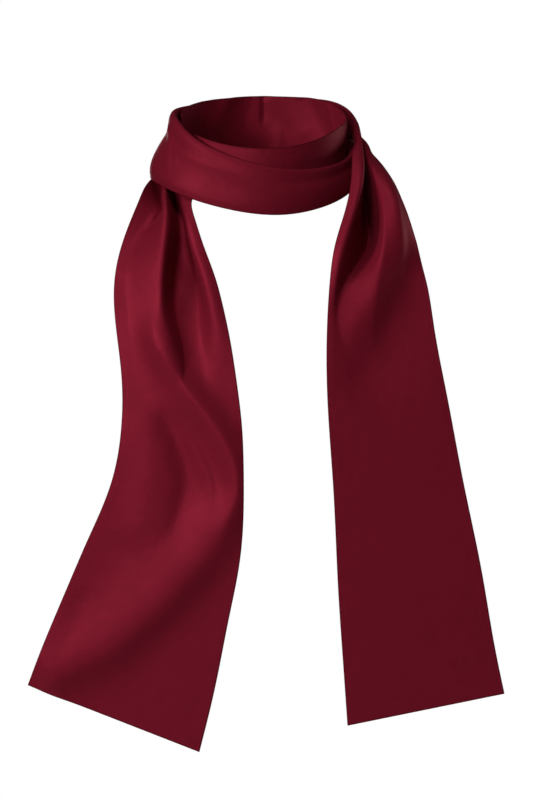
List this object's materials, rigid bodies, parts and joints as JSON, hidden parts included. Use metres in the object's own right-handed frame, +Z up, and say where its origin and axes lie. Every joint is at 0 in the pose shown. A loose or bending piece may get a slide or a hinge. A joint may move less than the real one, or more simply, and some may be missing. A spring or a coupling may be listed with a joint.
{
  "type": "dupatta",
  "caption": "Plain satin dupatta worn as a stole, wound one and a half times round an open neck, both tails hanging in front.",
  "frame": {"origin": "the middle of the neck loop, where the wearer's neck holds the stole", "axes": "+X to the viewer's right, -Y toward the viewer, +Z up along the hanging tails' longest extent"},
  "size_m": [0.4721, 0.226, 0.64],
  "materials": {
    "right_tail": "smooth burgundy satin with a soft sheen",
    "nape_outer": "smooth burgundy satin with a soft sheen",
    "front_band_lower": "smooth burgundy satin with a soft sheen",
    "front_band_upper": "smooth burgundy satin with a soft sheen",
    "nape_inner": "smooth burgundy satin with a soft sheen",
    "left_tail": "smooth burgundy satin with a soft sheen"
  },
  "bodies": {
    "root": {"right_tail": "right_tail", "nape_outer": "nape_outer", "front_band_lower": "front_band_lower", "front_band_upper": "front_band_upper", "nape_inner": "nape_inner", "left_tail": "left_tail"}
  },
  "joints": []
}
